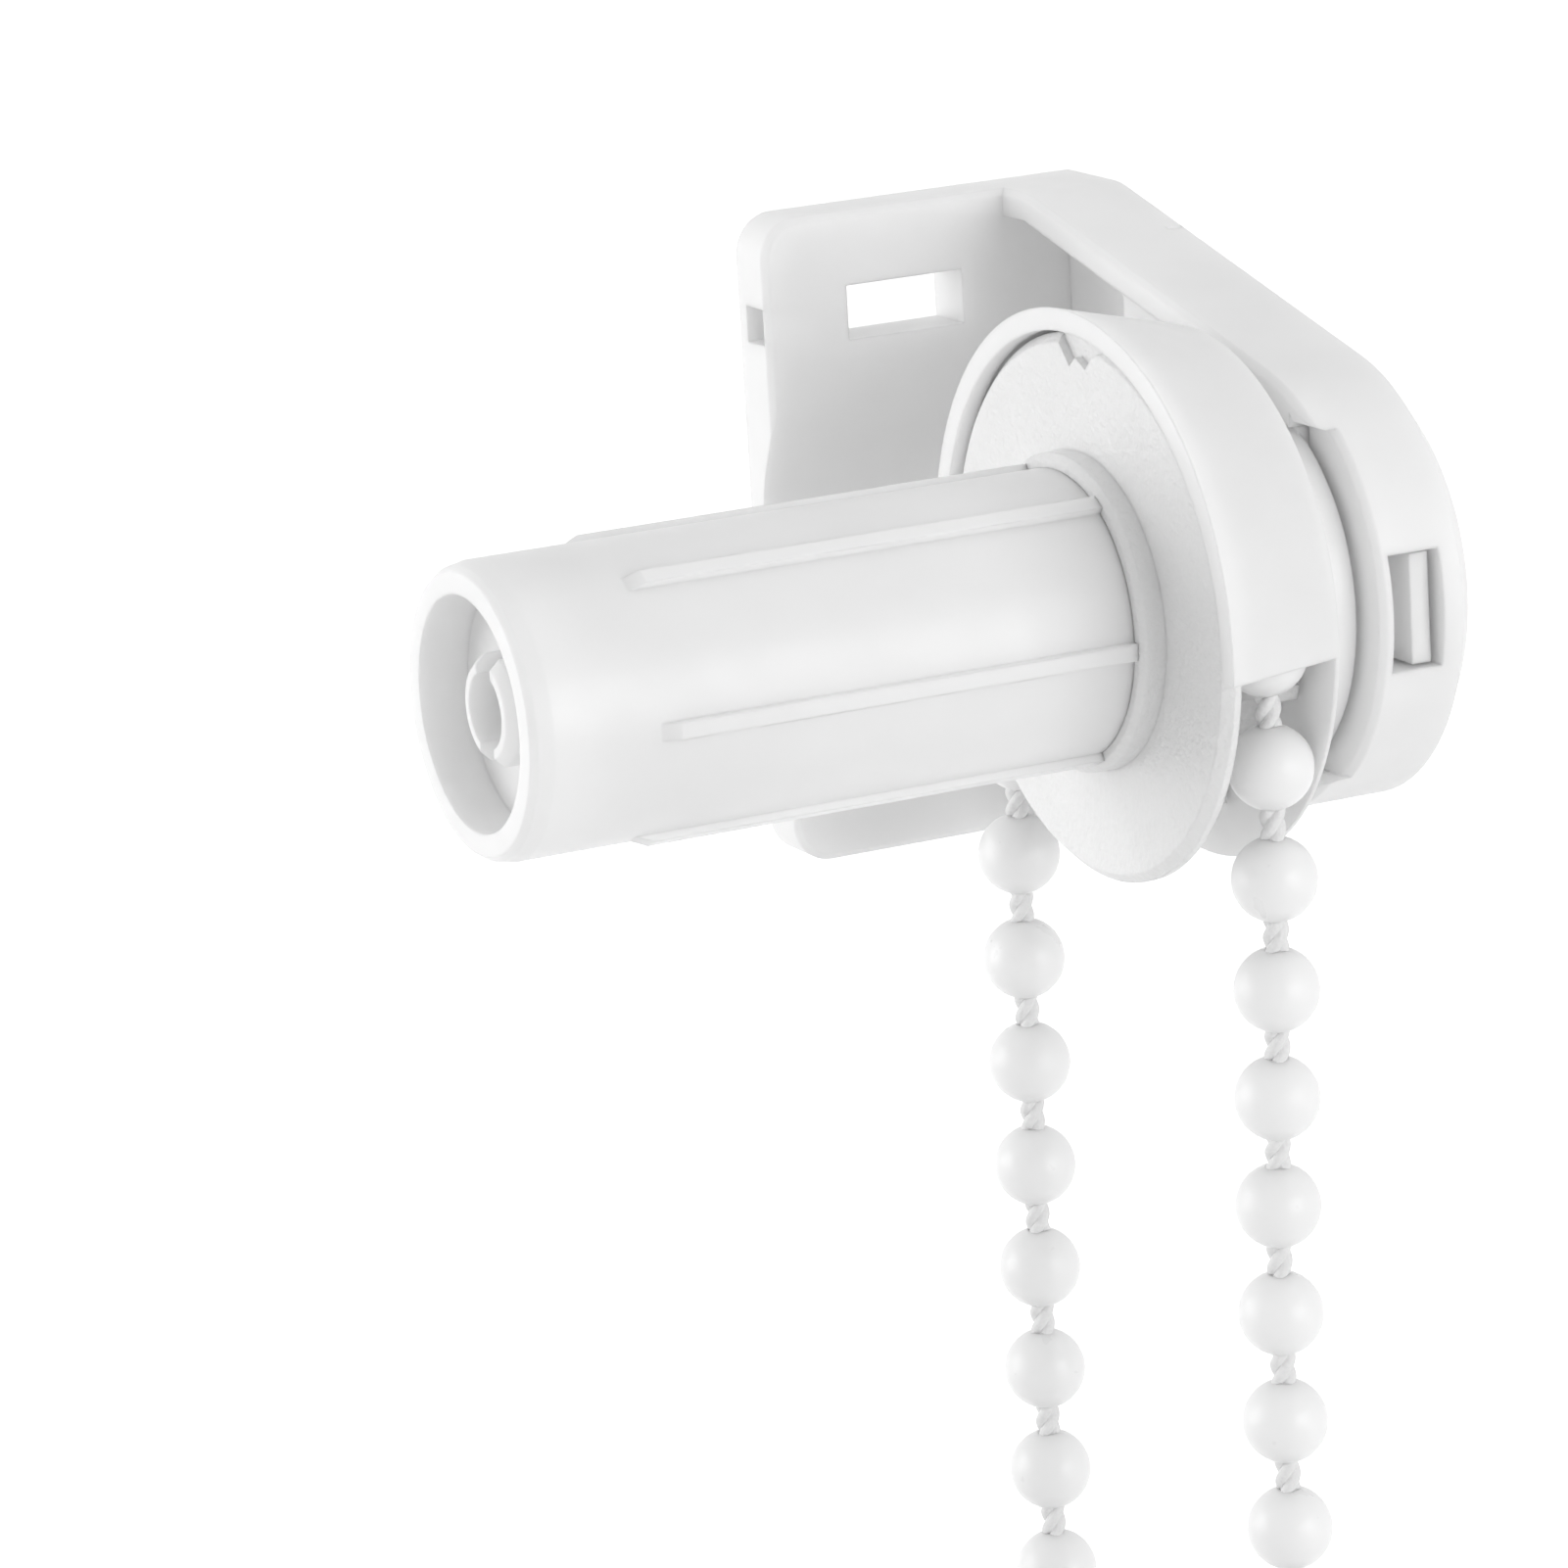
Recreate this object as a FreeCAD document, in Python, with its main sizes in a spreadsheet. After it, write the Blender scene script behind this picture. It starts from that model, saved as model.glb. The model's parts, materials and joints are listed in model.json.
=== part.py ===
import FreeCAD, Part
import math
import os
import re

import Sketcher
from FreeCAD import Placement, Rotation, Vector

# Roller blind bracket with its chain clutch. Millimetres, +Z up. The wall is the plane Y = 0 and the object
# stands out of it towards -Y. The tube axis runs along X, and the spigot points to -X. The origin is the
# centre of the wall plate's back face.

# Lengths nearer than SAME count as equal, and a feature that changes less than LEAST_CHANGE has failed.
SAME = 1e-4
LEAST_CHANGE = 1e-6

# Driving sizes: name, value, note. Places along the tube axis are X values in the part's own frame.
SIZES = [
    ("plate_width", 20.8, "wall plate along the tube axis"),
    ("plate_height", 36.0, "wall plate and side plate, upright"),
    ("plate_thickness", 3.3, "wall plate"),
    ("plate_corner", 2.2, "rounding of the wall plate's free corners"),
    ("plate_bevel", 0.35, "bevel of the wall plate's front edges"),
    ("slot_length", 7.1, "wall fixing slot along X"),
    ("slot_height", 3.0, "wall fixing slot, upright"),
    ("slot_spacing", 24.8, "between the middles of the two slots"),
    ("slot_shift", -1.9, "middle of the slots along X"),
    ("trough_radius", 12.0, "hollow across the front of the wall plate"),
    ("trough_depth", 1.9, "hollow at its deepest"),
    ("trough_round", 5.5, "rounding where the hollow starts"),
    ("end_pocket_side", 2.0, "square pocket in the free end of the wall plate"),
    ("end_pocket_depth", 2.5, "how far that pocket goes in"),
    ("end_pocket_spacing", 24.3, "between the two end pockets"),
    ("end_pocket_shift", 0.25, "end pocket towards the front from the plate's middle"),
    ("axis_reach", 28.0, "tube axis from the wall"),
    ("shoulder_depth", 5.87, "straight part of the side plate's outline at the wall"),
    ("nose_radius", 12.1, "round nose of the side plate"),
    ("shoulder_round", 6.0, "rounding between the straight and the sloping edge"),
    ("rim_bevel", 0.35, "bevel of the side plate's inner edge"),
    ("rim_depth", 6.0, "side plate from its inner edge to the crease of its outer face"),
    ("rim_wall", 1.45, "rim around the recess"),
    ("floor_thickness", 2.0, "side plate under the recess, without the dome"),
    ("dome_height", 1.96, "raised outer face"),
    ("dome_slant", 52.0, "lean of the dome's flank in degrees"),
    ("dome_bevel", 0.8, "bevel between the flank and the top of the dome"),
    ("nose_inner_radius", 8.6, "recess at the nose"),
    ("nose_block_start", 5.5, "thick part of the nose wall, from the tube axis"),
    ("nose_setback", 1.15, "lower edge of the rim round the nose"),
    ("nose_setback_width", 18.4, "lower stretch of that rim, upright"),
    ("setback_round", 0.75, "rounded upper corner at each end of that stretch"),
    ("nick_place", 18.1, "small nick at the crease, along the sloping edge from the nose"),
    ("nick_length", 1.6, "small nick along the sloping edge"),
    ("nick_depth", 0.3, "small nick into the sloping edge"),
    ("nick_width", 0.9, "small nick along X"),
    ("window_width", 6.2, "latch window in the nose, upright"),
    ("window_start", 6.25, "latch window along X"),
    ("window_length", 3.0, "latch window along X"),
    ("slit_spacing", 16.4, "between the two slits in the outer face"),
    ("slit_width", 2.2, "slit, upright"),
    ("slit_start", 12.9, "slit from the wall"),
    ("slit_length", 18.5, "slit along Y"),
    ("hood_front", -5.43, "open edge of the hood along X"),
    ("hood_front_radius", 15.85, "hood outside at its open edge"),
    ("hood_lip", 1.2, "thick lip at the hood's open edge"),
    ("hood_lip_length", 1.0, "that lip along X"),
    ("hood_wall", 0.75, "wall of the hood"),
    ("hood_angle", 189.0, "hood around the wheel in degrees"),
    ("back_plate_front", 1.55, "back plate along X, face towards the wheel"),
    ("back_plate_rim", 0.25, "thickness of the back plate's thin edge"),
    ("back_plate_thickness", 1.2, "back plate where its rear face is flat"),
    ("back_plate_radius", 14.05, "back plate"),
    ("back_plate_flat", 11.4, "radius of the back plate's flat rear face"),
    ("neck_radius", 10.2, "neck between back plate and plug"),
    ("neck_root", 0.2, "neck inside the plug"),
    ("plug_recess", 0.55, "front of the plug behind the rim's edge"),
    ("plug_start", 15.5, "edge of the plug from the wall"),
    ("plug_clearance", 0.15, "plug in the recess"),
    ("tongue_recess", 0.6, "end of a tongue below the dome"),
    ("tongue_clearance", 0.1, "tongue in its slit"),
    ("latch_thickness", 1.1, "latch along X"),
    ("latch_back", 0.5, "latch behind the plug's rear face"),
    ("latch_tip", 0.9, "latch tip inside the nose surface"),
    ("latch_clearance", 0.2, "latch in its window, each side"),
    ("core_radius", 4.8, "fixed core"),
    ("core_fit", 0.05, "core in the plug and turning parts on the core"),
    ("foot_side", 11.0, "square foot of the core"),
    ("foot_thickness", 1.6, "square foot of the core"),
    ("foot_clearance", 0.1, "square foot in the plug, each side"),
    ("snap_neck_radius", 2.55, "snap end where it passes the spigot's inner wall"),
    ("snap_radius", 2.9, "barb of the snap end"),
    ("snap_tip_radius", 2.4, "front of the snap end"),
    ("snap_bore_radius", 1.95, "bore of the snap end"),
    ("snap_straight", 1.2, "barb before its taper"),
    ("snap_slot", 1.6, "slot that splits the snap end"),
    ("snap_slot_depth", 4.4, "slot and bore from the tip"),
    ("snap_turn", 2.0, "slot away from upright in degrees"),
    ("snap_recess", 0.9, "snap end behind the spigot's mouth"),
    ("end_play", 0.1, "spigot along the core"),
    ("wheel_recess", 0.4, "wheel's front behind the hood's edge"),
    ("disc_radius", 14.45, "front disc of the wheel"),
    ("disc_bevel", 0.5, "sloping edge of the disc's face"),
    ("disc_thickness", 0.9, "front disc of the wheel"),
    ("hub_radius", 11.2, "wheel between its pockets"),
    ("hub_clearance", 0.25, "wheel in front of the back plate"),
    ("collar_radius", 8.4, "collar on the disc"),
    ("collar_length", 1.4, "collar on the disc"),
    ("collar_bevel", 0.35, "sloping edge of the collar"),
    ("sleeve_length", 3.0, "wheel's sleeve inside the spigot"),
    ("cord_groove_width", 2.2, "groove for the cord in the hub"),
    ("cord_groove_depth", 0.45, "groove below the cord"),
    ("pocket_count", 12, "bead pockets around the wheel"),
    ("pocket_clearance", 0.3, "bead in its pocket"),
    ("wheel_phase", 2.9, "turn of wheel, spigot and springs in degrees"),
    ("notch_width", 4.6, "ragged notch along the disc's edge"),
    ("notch_depth", 1.2, "ragged notch from the disc's edge"),
    ("notch_cut", 0.45, "ragged notch into the disc's face"),
    ("notch_shift", 0.1, "ragged notch from the top of the disc"),
    ("finger_angle", 66.0, "wheel's drive finger in degrees"),
    ("finger_wall", 0.5, "wheel's drive finger"),
    ("finger_gap", 3.0, "end of the finger before the spigot's inner wall"),
    ("spigot_radius", 7.65, "spigot between its ribs"),
    ("spigot_length", 33.7, "spigot from the collar to its mouth"),
    ("spigot_end_round", 1.2, "rounded end of the spigot, along X"),
    ("spigot_end_drop", 0.43, "rounded end of the spigot, in radius"),
    ("spigot_end_bend", 0.36, "part of that rounding that is turned more, along X"),
    ("spigot_end_break", 0.17, "drop in radius where that part starts"),
    ("mouth_radius", 6.06, "mouth of the spigot"),
    ("mouth_depth", 2.7, "mouth of the spigot"),
    ("inner_wall", 1.4, "spigot's wall behind the mouth"),
    ("chamber_radius", 5.85, "spigot around the springs"),
    ("slide_fit", 0.05, "sleeve and finger in the spigot"),
    ("groove_angle", 94.0, "groove in the spigot for finger and spring ends, in degrees"),
    ("rib_count", 6, "ribs on the spigot"),
    ("rib_width", 0.9, "rib"),
    ("rib_height", 0.42, "rib"),
    ("rib_end", 7.0, "start of a rib from the mouth"),
    ("rib_ramp", 0.9, "sloping start of a rib"),
    ("rib_root", 0.2, "rib inside the spigot's wall"),
    ("rib_phase", 31.6, "turn of the ribs in degrees"),
    ("wire_side", 0.8, "square wire of the springs"),
    ("spring_fit", 0.06, "springs on the core"),
    ("spring_coils", 6, "turns of each spring"),
    ("spring_front_start", 12.0, "front spring from the spigot's mouth"),
    ("spring_rear_start", 20.0, "rear spring from the spigot's mouth"),
    ("tang_angle", 40.0, "spring ends to either side of the finger's middle, in degrees"),
    ("tang_reach", 0.6, "spring ends out of the coil"),
    ("chain_plane", -1.0, "chain on the wheel along X"),
    ("chain_pitch", 6.0, "bead to bead"),
    ("bead_diameter", 4.5, "bead"),
    ("cord_diameter", 1.4, "cord of the chain"),
    ("cord_end_gap", 1.0, "the cord's two ends inside one bead"),
    ("cut_margin", 1.0, "cutting shapes past the faces that they cut"),
]

# Values that follow from the driving sizes.
FORMULAS = [
    ("shoulder_reach", "axis_reach - shoulder_depth"),
    (
        "slope_normal",
        "atan2(plate_height / 2; shoulder_reach)"
        " + acos(nose_radius / sqrt(pow(shoulder_reach; 2) + pow(plate_height / 2; 2)))",
    ),
    ("crease_x", "plate_width / 2"),
    ("rim_x", "crease_x - rim_depth"),
    ("floor_x", "crease_x - floor_thickness"),
    ("plug_x", "rim_x + plug_recess"),
    ("back_plate_rear", "back_plate_front + back_plate_thickness"),
    ("rim_rear", "back_plate_front + back_plate_rim"),
    ("disc_x", "hood_front + wheel_recess"),
    ("collar_x", "disc_x - collar_length"),
    ("mouth_x", "collar_x - spigot_length"),
    ("wall_front_x", "mouth_x + mouth_depth"),
    ("wall_rear_x", "wall_front_x + inner_wall"),
    ("sleeve_radius", "chamber_radius + finger_wall"),
    ("pitch_radius", "chain_pitch * pocket_count / (2 * pi)"),
    ("foot_x", "floor_x - foot_thickness"),
]

NAMES = {row[0] for row in SIZES} | {row[0] for row in FORMULAS}


def sized(text):
    """An expression on the sheet, written with bare size names."""
    return re.sub(r"[a-z][a-z_]*", lambda m: f"Sizes.{m[0]}" if m[0] in NAMES else m[0], text)


def bind(item, place, text):
    item.setExpression(place, sized(text))


def make_sheet(doc):
    sheet = doc.addObject("Spreadsheet::Sheet", "Sizes")
    rows = [(name, str(value), note) for name, value, note in SIZES]
    rows += [(name, "=" + text, "follows from the sizes above") for name, text in FORMULAS]
    for row, (name, value, note) in enumerate(rows, 1):
        sheet.set(f"A{row}", name)
        sheet.set(f"B{row}", value)
        sheet.set(f"C{row}", note)
        sheet.setAlias(f"B{row}", name)
    doc.recompute()
    return sheet


def size(name):
    value = DOC.Sizes.get(name)
    return float(getattr(value, "Value", value))


# Sketches and features


def new_body(label, on_axis=True, turn=None):
    """A body, on the tube axis unless told otherwise, turned about that axis by an expression."""
    body = DOC.addObject("PartDesign::Body", label)
    body.Label = label
    body.Placement = Placement(Vector(), Rotation(Vector(1, 0, 0), 1 if turn else 0))
    if on_axis:
        bind(body, "Placement.Base.y", "-axis_reach")
    if turn:
        bind(body, "Placement.Rotation.Angle", turn)
    return body


def origin_part(body, role):
    return next(o for o in body.Origin.OriginFeatures if o.Role == role)


def sketch_on(body, role, name, offset="0", turn=None, turn_axis=Vector(0, 0, 1)):
    """A sketch on an origin plane, moved along the plane's normal and turned about one of its own axes."""
    sketch = body.newObject("Sketcher::SketchObject", name)
    sketch.AttachmentSupport = [(origin_part(body, role), "")]
    sketch.MapMode = "FlatFace"
    sketch.AttachmentOffset = Placement(Vector(), Rotation(turn_axis, 1 if turn else 0))
    bind(sketch, "AttachmentOffset.Base.z", offset)
    if turn:
        bind(sketch, "AttachmentOffset.Rotation.Angle", turn)
    return sketch


def place_point(sketch, geometry, end, across, up, start):
    for kind, text, value in (("DistanceX", across, start.x), ("DistanceY", up, start.y)):
        index = sketch.addConstraint(Sketcher.Constraint(kind, -1, 1, geometry, end, value))
        bind(sketch, f"Constraints[{index}]", text)


def polygon(sketch, corners):
    """Closed outline: its corners start on a circle, and their expressions carry them to their places."""
    count = len(corners)
    turns = [2 * math.pi * i / count for i in range(count)]
    starts = [Vector(10 * math.cos(a), 10 * math.sin(a), 0) for a in turns]
    first = sketch.GeometryCount
    for i in range(count):
        sketch.addGeometry(Part.LineSegment(starts[i], starts[(i + 1) % count]), False)
    for i in range(count):
        link = Sketcher.Constraint("Coincident", first + i, 2, first + (i + 1) % count, 1)
        sketch.addConstraint(link)
    for i, (across, up) in enumerate(corners):
        place_point(sketch, first + i, 1, across, up, starts[i])


def rectangle(sketch, left, right, low, high):
    polygon(sketch, [(left, low), (right, low), (right, high), (left, high)])


def mirrored_outline(upper):
    """Corners of an outline that is the same above and below, from its upper half."""
    return upper + [(across, f"-({up})") for across, up in reversed(upper)]


def circle(sketch, across, up, radius):
    index = sketch.addGeometry(Part.Circle(Vector(), Vector(0, 0, 1), 5), False)
    place_point(sketch, index, 3, across, up, Vector())
    ring = sketch.addConstraint(Sketcher.Constraint("Radius", index, 5))
    bind(sketch, f"Constraints[{ring}]", radius)


def feature(body, kind, name, sketch):
    item = body.newObject("PartDesign::" + kind, name)
    item.Profile = sketch
    return item


def settle(body, before, grows):
    """Recompute, and stop where a feature left the solid as it was."""
    DOC.recompute()
    change = body.Shape.Volume - before
    if abs(change) <= LEAST_CHANGE or (change > 0) != grows:
        raise RuntimeError(f"{body.Label}: {body.Tip.Name} changed the volume by {change:.4f}")


def volume_of(body):
    return body.Shape.Volume if body.Tip else 0.0


def pad(body, sketch, name, length, reverse=False, symmetric=False, taper=None):
    before = volume_of(body)
    item = feature(body, "Pad", name, sketch)
    item.Reversed = reverse
    item.SideType = "Symmetric" if symmetric else "One side"
    bind(item, "Length", length)
    if taper:
        bind(item, "TaperAngle", taper)
    settle(body, before, True)
    return item


def pocket(body, sketch, name, length, forward=True):
    """Cut along the sketch's normal, or against it."""
    before = volume_of(body)
    item = feature(body, "Pocket", name, sketch)
    item.Reversed = forward
    bind(item, "Length", length)
    settle(body, before, False)
    return item


def revolve(body, sketch, name, angle="360", cut=False):
    """Turn a section on the XZ plane about the body's X axis, to both sides of that plane."""
    before = volume_of(body)
    item = feature(body, "Groove" if cut else "Revolution", name, sketch)
    item.ReferenceAxis = (origin_part(body, "X_Axis"), [""])
    item.Midplane = True
    bind(item, "Angle", angle)
    settle(body, before, not cut)
    return item


def polar(body, original, name, count):
    before = volume_of(body)
    grows = original.TypeId != "PartDesign::Pocket"
    item = body.newObject("PartDesign::PolarPattern", name)
    item.Originals = [original]
    item.Axis = (origin_part(body, "X_Axis"), [""])
    item.Angle = 360
    bind(item, "Occurrences", count)
    body.Tip = item
    settle(body, before, grows)
    return item


def edge_feature(body, kind, name, amount, wanted):
    """Round or bevel the edges of the body that pass a test."""
    base = body.Tip
    edges = [f"Edge{i}" for i, edge in enumerate(base.Shape.Edges, 1) if wanted(edge)]
    item = body.newObject("PartDesign::" + kind, name)
    item.Base = (base, edges)
    bind(item, "Radius" if kind == "Fillet" else "Size", amount)
    DOC.recompute()
    return item


def middle_of(edge):
    return edge.valueAt((edge.FirstParameter + edge.LastParameter) / 2)


def lies_at(edge, axis, value):
    """True where the whole edge lies in the plane at that value of X, Y or Z."""
    box = edge.BoundBox
    low, high = getattr(box, axis + "Min"), getattr(box, axis + "Max")
    return abs(low - value) < SAME and abs(high - value) < SAME


# Bracket


def slope_height(across, inset):
    """Height of the side plate's sloping edge, moved in by an inset, at a distance from the tube axis."""
    return f"(nose_radius - ({inset}) - ({across}) * cos(slope_normal)) / sin(slope_normal)"


def slope_point(inset, along="0"):
    """A point of the sloping edge, moved in by an inset, along it from the nose; from the tube axis."""
    return (
        f"(nose_radius - ({inset})) * cos(slope_normal) + ({along}) * sin(slope_normal)",
        f"(nose_radius - ({inset})) * sin(slope_normal) - ({along}) * cos(slope_normal)",
    )


def side_sketch(body, name, offset):
    """Outline of the side plate: straight at the wall, sloping edges and a round nose."""
    sketch = sketch_on(body, "YZ_Plane", name, offset)
    across, up = slope_point("0")
    corners = [
        ("0", "plate_height / 2"),
        ("-shoulder_depth", "plate_height / 2"),
        (f"-axis_reach + {across}", up),
    ]
    reach, radius, half = size("axis_reach"), size("nose_radius"), size("plate_height") / 2
    normal = math.radians(size("slope_normal"))
    nose = Part.Circle(Vector(-reach, 0, 0), Vector(0, 0, 1), radius)
    starts = [
        Vector(0, half, 0),
        Vector(-size("shoulder_depth"), half, 0),
        Vector(-reach + radius * math.cos(normal), radius * math.sin(normal), 0),
    ]
    mirrored = [Vector(p.x, -p.y, 0) for p in reversed(starts)]
    chain = starts + mirrored
    for here, there in zip(chain, chain[1:] + chain[:1]):
        line = Part.LineSegment(here, there)
        round_nose = Part.ArcOfCircle(nose, normal, 2 * math.pi - normal)
        sketch.addGeometry(round_nose if here == starts[-1] else line, False)
    for i in range(6):
        sketch.addConstraint(Sketcher.Constraint("Coincident", i, 2, (i + 1) % 6, 1))
    for i, (out, high) in enumerate(corners):
        place_point(sketch, i, 1, out, high, starts[i])
    for i, (out, high) in zip((5, 4), corners):
        place_point(sketch, i, 1, out, f"-({high})", chain[i])
    place_point(sketch, 2, 3, "-axis_reach", "0", Vector(-reach, 0, 0))
    low = sketch.addConstraint(Sketcher.Constraint("DistanceY", -1, 1, 3, 1, chain[3].y))
    bind(sketch, f"Constraints[{low}]", f"-({up})")
    return sketch


def outline_depth(point):
    """How far a point lies inside the side plate's outline."""
    radius = size("nose_radius")
    normal = math.radians(size("slope_normal"))
    across, up = point.y + size("axis_reach"), abs(point.z)
    if math.atan2(up, across) > normal:
        return radius - math.hypot(across, up)
    slope = radius - across * math.cos(normal) - up * math.sin(normal)
    return min(slope, size("plate_height") / 2 - up)


def recess_outline():
    inside = "plate_height / 2 - rim_wall"
    turn = f"(nose_radius - rim_wall - ({inside}) * sin(slope_normal)) / cos(slope_normal)"
    across, up = slope_point("rim_wall")
    block_up = "sqrt(pow(nose_radius - rim_wall; 2) - pow(nose_block_start; 2))"
    return mirrored_outline(
        [
            ("-plate_thickness", inside),
            (f"-axis_reach + {turn}", inside),
            (f"-axis_reach + {across}", up),
            ("-axis_reach - nose_block_start", block_up),
        ]
    )


def add_dome(body):
    pad(body, side_sketch(body, "dome_outline", "crease_x"), "dome", "dome_height", taper="-dome_slant")
    top = size("crease_x") + size("dome_height")
    edge_feature(body, "Chamfer", "dome_edge", "dome_bevel", lambda e: lies_at(e, "X", top))


def cut_recess(body):
    depth = "rim_depth - floor_thickness"
    outline = sketch_on(body, "YZ_Plane", "recess_outline", "rim_x")
    polygon(outline, recess_outline())
    pocket(body, outline, "recess", depth)
    nose = sketch_on(body, "YZ_Plane", "recess_nose_outline", "rim_x")
    circle(nose, "-axis_reach", "0", "nose_inner_radius")
    pocket(body, nose, "recess_nose", depth)


def cut_setback(body):
    """The lower stretch of the rim round the nose, with a rounded step at each end."""
    half = "nose_setback_width / 2"
    bend = 1 - math.sqrt(0.5)
    step = sketch_on(body, "XZ_Plane", "setback_outline", "axis_reach + nose_block_start")
    polygon(
        step,
        mirrored_outline(
            [
                ("rim_x - cut_margin", f"{half} + setback_round"),
                ("rim_x", f"{half} + setback_round"),
                (f"rim_x + setback_round * {bend:.4f}", f"{half} + setback_round * {bend:.4f}"),
                ("rim_x + setback_round", half),
                ("rim_x + nose_setback", half),
            ]
        ),
    )
    pocket(body, step, "setback", "nose_radius - nose_block_start + cut_margin")


def round_shoulders(body):
    """The corner between the straight and the sloping edge, on the rim and on the dome's flank."""
    corner_y, corner_z = -size("shoulder_depth"), size("plate_height") / 2
    crease = size("crease_x")

    def at_corner(vertex):
        point = vertex.Point
        flat = math.hypot(point.y - corner_y, abs(point.z) - corner_z)
        return flat < SAME and abs(point.x - crease) < SAME

    edge_feature(
        body,
        "Fillet",
        "shoulders",
        "shoulder_round",
        lambda e: any(at_corner(v) for v in e.Vertexes) and not lies_at(e, "X", crease),
    )


def bevel_rim(body, name, place):
    """The inner edge of the side plate along its outline, at a place along X."""
    edge_feature(
        body,
        "Chamfer",
        name,
        "rim_bevel",
        lambda e: lies_at(e, "X", place) and abs(outline_depth(middle_of(e))) < SAME,
    )


def cut_window(body):
    opening = sketch_on(body, "XZ_Plane", "window_outline", "axis_reach + nose_radius + cut_margin")
    rectangle(
        opening,
        "window_start",
        "window_start + window_length",
        "-window_width / 2",
        "window_width / 2",
    )
    depth = "nose_radius - nose_inner_radius + latch_clearance + 2 * cut_margin"
    pocket(body, opening, "window", depth, forward=False)


def cut_slits(body):
    slits = sketch_on(body, "YZ_Plane", "slit_outline", "floor_x")
    for side in ("", "-"):
        rectangle(
            slits,
            "-slit_start - slit_length",
            "-slit_start",
            f"{side}slit_spacing / 2 - slit_width / 2",
            f"{side}slit_spacing / 2 + slit_width / 2",
        )
    pocket(body, slits, "slits", "floor_thickness + dome_height + cut_margin")


def cut_nick(body):
    """A small three-cornered nick where the upper sloping edge meets the crease."""
    places = [
        ("-cut_margin", "nick_place"),
        ("nick_depth", "nick_place + nick_length / 2"),
        ("-cut_margin", "nick_place + nick_length"),
    ]
    points = [slope_point(inset, along) for inset, along in places]
    outline = sketch_on(body, "YZ_Plane", "nick_outline", "crease_x - nick_width")
    polygon(outline, [(f"-axis_reach + {across}", up) for across, up in points])
    pocket(body, outline, "nick", "nick_width")


def cut_wall_plate(body):
    slots = sketch_on(body, "XZ_Plane", "slot_outline")
    ends = sketch_on(body, "YZ_Plane", "end_pocket_outline", "-plate_width / 2")
    for side in ("", "-"):
        rectangle(
            slots,
            "slot_shift - slot_length / 2",
            "slot_shift + slot_length / 2",
            f"{side}slot_spacing / 2 - slot_height / 2",
            f"{side}slot_spacing / 2 + slot_height / 2",
        )
        rectangle(
            ends,
            "-plate_thickness / 2 - end_pocket_shift - end_pocket_side / 2",
            "-plate_thickness / 2 - end_pocket_shift + end_pocket_side / 2",
            f"{side}end_pocket_spacing / 2 - end_pocket_side / 2",
            f"{side}end_pocket_spacing / 2 + end_pocket_side / 2",
        )
    pocket(body, slots, "slots", "plate_thickness + cut_margin")
    pocket(body, ends, "end_pockets", "end_pocket_depth")
    trough = sketch_on(body, "YZ_Plane", "trough_outline", "-plate_width / 2")
    circle(trough, "-plate_thickness + trough_depth - trough_radius", "0", "trough_radius")
    pocket(body, trough, "trough", "plate_width / 2 + floor_x")
    half = math.sqrt(size("trough_radius") ** 2 - (size("trough_radius") - size("trough_depth")) ** 2)
    front = -size("plate_thickness")
    edge_feature(
        body,
        "Fillet",
        "trough_edges",
        "trough_round",
        lambda e: lies_at(e, "Y", front) and abs(abs(middle_of(e).z) - half) < SAME,
    )


def make_bracket():
    body = new_body("bracket", on_axis=False)
    face = sketch_on(body, "XZ_Plane", "plate_outline")
    rectangle(face, "-plate_width / 2", "plate_width / 2", "-plate_height / 2", "plate_height / 2")
    pad(body, face, "wall_plate", "plate_thickness")
    end = -size("plate_width") / 2
    edge_feature(
        body,
        "Fillet",
        "plate_corners",
        "plate_corner",
        lambda e: lies_at(e, "X", end) and e.BoundBox.ZLength < SAME,
    )
    front = -size("plate_thickness")
    edge_feature(
        body,
        "Chamfer",
        "plate_edges",
        "plate_bevel",
        lambda e: lies_at(e, "Y", front) and not lies_at(e, "X", -end),
    )
    pad(body, side_sketch(body, "side_outline", "rim_x"), "side_plate", "rim_depth")
    add_dome(body)
    round_shoulders(body)
    bevel_rim(body, "rim_edge", size("rim_x"))
    cut_recess(body)
    cut_setback(body)
    bevel_rim(body, "nose_edge", size("rim_x") + size("nose_setback"))
    cut_wall_plate(body)
    cut_window(body)
    cut_slits(body)
    cut_nick(body)
    return body


# Chain guard: hood, back plate, neck, plug, tongues and latch in one moulding


def add_back_plate(body):
    section = sketch_on(body, "XZ_Plane", "back_plate_section")
    polygon(
        section,
        [
            ("back_plate_front", "core_radius + core_fit"),
            ("back_plate_front", "back_plate_radius"),
            ("rim_rear", "back_plate_radius"),
            ("back_plate_rear", "back_plate_flat"),
            ("back_plate_rear", "neck_radius"),
            ("plug_x + neck_root", "neck_radius"),
            ("plug_x + neck_root", "core_radius + core_fit"),
        ],
    )
    revolve(body, section, "back_plate")


def add_hood(body):
    lean = "(hood_front_radius - back_plate_radius) / (rim_rear - hood_front)"
    seat = f"hood_front_radius - hood_wall - (back_plate_front - hood_front) * {lean}"
    section = sketch_on(body, "XZ_Plane", "hood_section")
    polygon(
        section,
        [
            ("hood_front", "hood_front_radius"),
            ("rim_rear", "back_plate_radius"),
            ("rim_rear", "back_plate_radius - 2 * hood_wall"),
            ("back_plate_front", seat),
            ("hood_front + hood_lip_length", f"hood_front_radius - hood_wall - hood_lip_length * {lean}"),
            ("hood_front + hood_lip_length", "hood_front_radius - hood_lip"),
            ("hood_front", "hood_front_radius - hood_lip"),
        ],
    )
    revolve(body, section, "hood", "hood_angle")


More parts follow.
